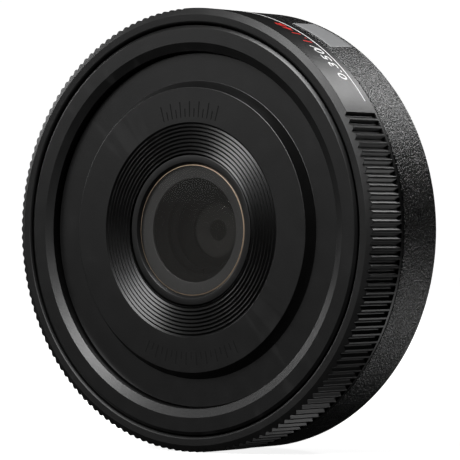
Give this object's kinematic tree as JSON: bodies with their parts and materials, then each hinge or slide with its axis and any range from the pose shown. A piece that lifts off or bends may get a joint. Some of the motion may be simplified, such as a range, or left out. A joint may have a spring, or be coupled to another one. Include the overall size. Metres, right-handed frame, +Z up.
{
  "type": "prime camera lens",
  "caption": "Very thin manual-focus camera lens with a knurled focusing ring, a recessed front panel and a bayonet mount.",
  "frame": {"origin": "centre of the bayonet's seating face, on the optical axis", "axes": "-Y is the front of the lens along the optical axis, +Y points into the camera body, +Z is up, +X is to the right seen from the front"},
  "size_m": [0.0676, 0.0233, 0.0676],
  "materials": {
    "pebbled_black_paint": "moulding with fine pebbled matt black paint",
    "black_anodised": "matt black anodised",
    "inner_black": "dead matt light-trap black",
    "moulded_black": "fine-grained black moulding",
    "mount_metal": "turned and plated light alloy",
    "small_screws": "machined",
    "black_screws": "blackened",
    "spring_steel": "spring steel, bright",
    "helicoid_brass": "machined, greased",
    "helicoid_alloy": "machined, greased",
    "washer_plastic": "low-friction film",
    "adhesive_tape": "double-sided tape",
    "badge_grey": "satin grey, blank",
    "mask_grey": "dark grey foil",
    "red_dot": "red enamel",
    "coated_glass": "polished, coated"
  },
  "bodies": {
    "lens_body": {"rear_barrel": "pebbled_black_paint", "bayonet_mount": "mount_metal", "mount_screws": "mount_metal", "index_dot": "red_dot", "light_baffle": "inner_black", "baffle_screws": "black_screws", "guide_plate": "moulded_black", "guide_plate_screws": "small_screws", "guide_keys": "helicoid_brass", "guide_key_screws": "small_screws", "fixed_barrel": "moulded_black", "barrel_screws": "small_screws", "slide_washer_front": "washer_plastic", "slide_washer_rear": "washer_plastic", "wave_washer": "spring_steel", "helicoid_retaining_ring": "black_anodised", "front_rim": "black_anodised", "front_rim_screws": "small_screws", "front_panel": "moulded_black", "panel_adhesive_ring": "adhesive_tape", "badge_plate": "badge_grey"},
    "focus_drive": {"focus_ring": "black_anodised", "helicoid_nut": "helicoid_alloy", "drive_keys": "spring_steel", "drive_key_screws": "small_screws"},
    "focus_cell": {"inner_helicoid": "helicoid_alloy", "cell_barrel": "inner_black", "cell_shim": "helicoid_brass", "front_bezel": "black_anodised", "front_element": "coated_glass", "front_mask": "mask_grey", "second_element": "coated_glass", "front_group_ring": "inner_black", "aperture_stop": "inner_black", "aperture_spacer": "inner_black", "third_element": "coated_glass", "middle_spacer": "inner_black", "fourth_element": "coated_glass", "rear_spacer": "inner_black", "rear_element": "coated_glass", "rear_retaining_ring": "black_anodised"}
  },
  "joints": [
    {"name": "focus_turn", "type": "hinge", "parent": "lens_body", "child": "focus_drive", "pos_m": [0, -0.0138, 0], "axis": [0, 1, 0], "range_deg": [0, 90]},
    {"name": "cell_slide", "type": "slide", "parent": "lens_body", "child": "focus_cell", "axis": [0, -1, 0], "range_m": [0, 0.00345]}
  ],
  "couplings": [
    {"joint": "cell_slide", "follows": "focus_turn", "m_per_rad": 0.0021963}
  ]
}
